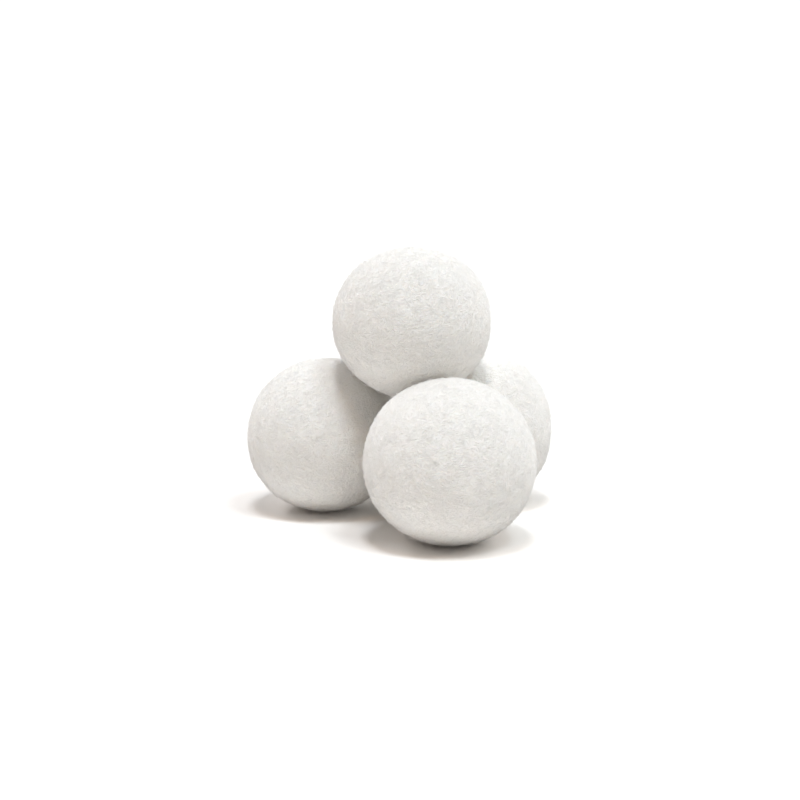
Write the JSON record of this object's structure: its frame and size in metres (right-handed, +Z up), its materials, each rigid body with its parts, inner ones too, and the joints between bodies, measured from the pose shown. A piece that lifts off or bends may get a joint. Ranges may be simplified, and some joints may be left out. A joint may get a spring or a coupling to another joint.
{
  "type": "dryer ball set",
  "caption": "Piled wool dryer balls, each a wound yarn core inside carded wool and a smooth white felt skin; every ball can be taken off the pile on its own.",
  "frame": {"origin": "on the surface that the pile stands on, under the middle of the pile's bounding box", "axes": "+Z up; +Y from the front ball towards the back of the pile; +X to the right, seen from the front"},
  "size_m": [0.145, 0.1492, 0.1253],
  "materials": {
    "white_felt": "hard wet-felted wool, short nap",
    "carded_wool": "loosely felted carded wool",
    "wool_yarn": "wound wool yarn"
  },
  "bodies": {
    "front_ball": {"front_ball_core": "wool_yarn", "front_ball_batting": "carded_wool", "front_ball_cover": "white_felt"},
    "left_ball": {"left_ball_core": "wool_yarn", "left_ball_batting": "carded_wool", "left_ball_cover": "white_felt"},
    "right_ball": {"right_ball_core": "wool_yarn", "right_ball_batting": "carded_wool", "right_ball_cover": "white_felt"},
    "top_ball": {"top_ball_core": "wool_yarn", "top_ball_batting": "carded_wool", "top_ball_cover": "white_felt"}
  },
  "joints": [
    {"name": "top_ball_lift", "type": "slide", "parent": "front_ball", "child": "top_ball", "axis": [0, 0, 1], "range_m": [0, 0.09]},
    {"name": "left_ball_roll_away", "type": "slide", "parent": "front_ball", "child": "left_ball", "axis": [-0.8338, 0.552, 0], "range_m": [0, 0.08]},
    {"name": "right_ball_roll_away", "type": "slide", "parent": "front_ball", "child": "right_ball", "axis": [0.7023, 0.7118, 0], "range_m": [0, 0.08]}
  ]
}
